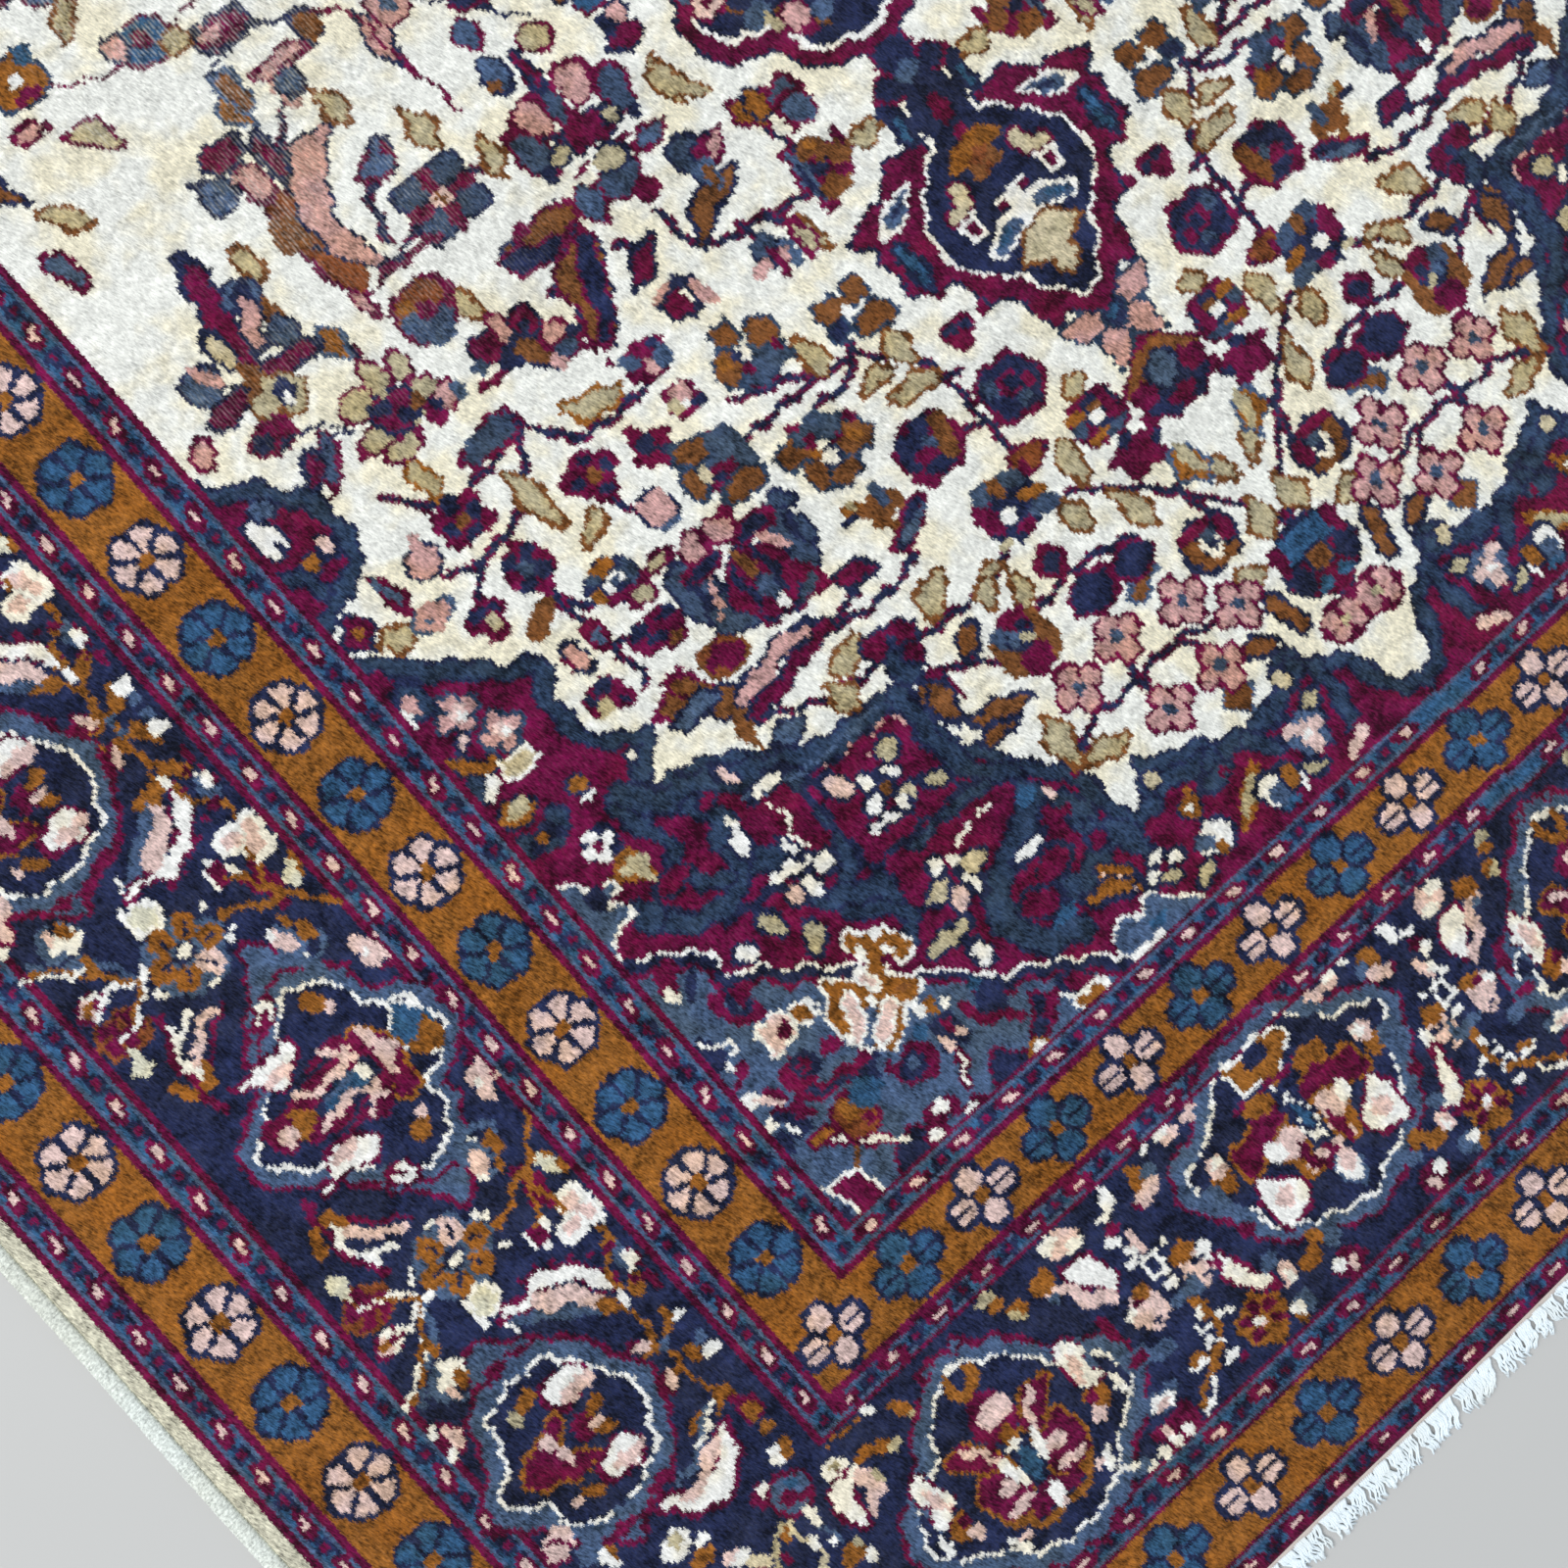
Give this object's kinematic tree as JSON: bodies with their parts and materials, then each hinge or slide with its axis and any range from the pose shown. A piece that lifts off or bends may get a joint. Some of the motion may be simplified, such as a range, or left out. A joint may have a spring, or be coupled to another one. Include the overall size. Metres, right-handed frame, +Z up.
{
  "type": "turkish rug",
  "caption": "Hand-knotted wool rug with medallion and floral borders, overcast selvages along its sides and a short cotton fringe at each end, lying flat.",
  "frame": {"origin": "middle of the underside, on the floor", "axes": "+X across the rug's width, +Y along its warps towards the back end, +Z up out of the pile"},
  "size_m": [1.9998, 3.048, 0.009],
  "materials": {
    "pile_wool": "matte cut wool pile, knotted in navy, crimson, blues, gold, ivory and pink",
    "overcast_wool": "matte off-white wool yarn, wrapped round the edge cords",
    "warp_cotton": "matte white cotton warp ends"
  },
  "bodies": {
    "root": {"pile_cloth": "pile_wool", "selvage_left": "overcast_wool", "selvage_right": "overcast_wool", "fringe_front": "warp_cotton", "fringe_back": "warp_cotton"}
  },
  "joints": []
}
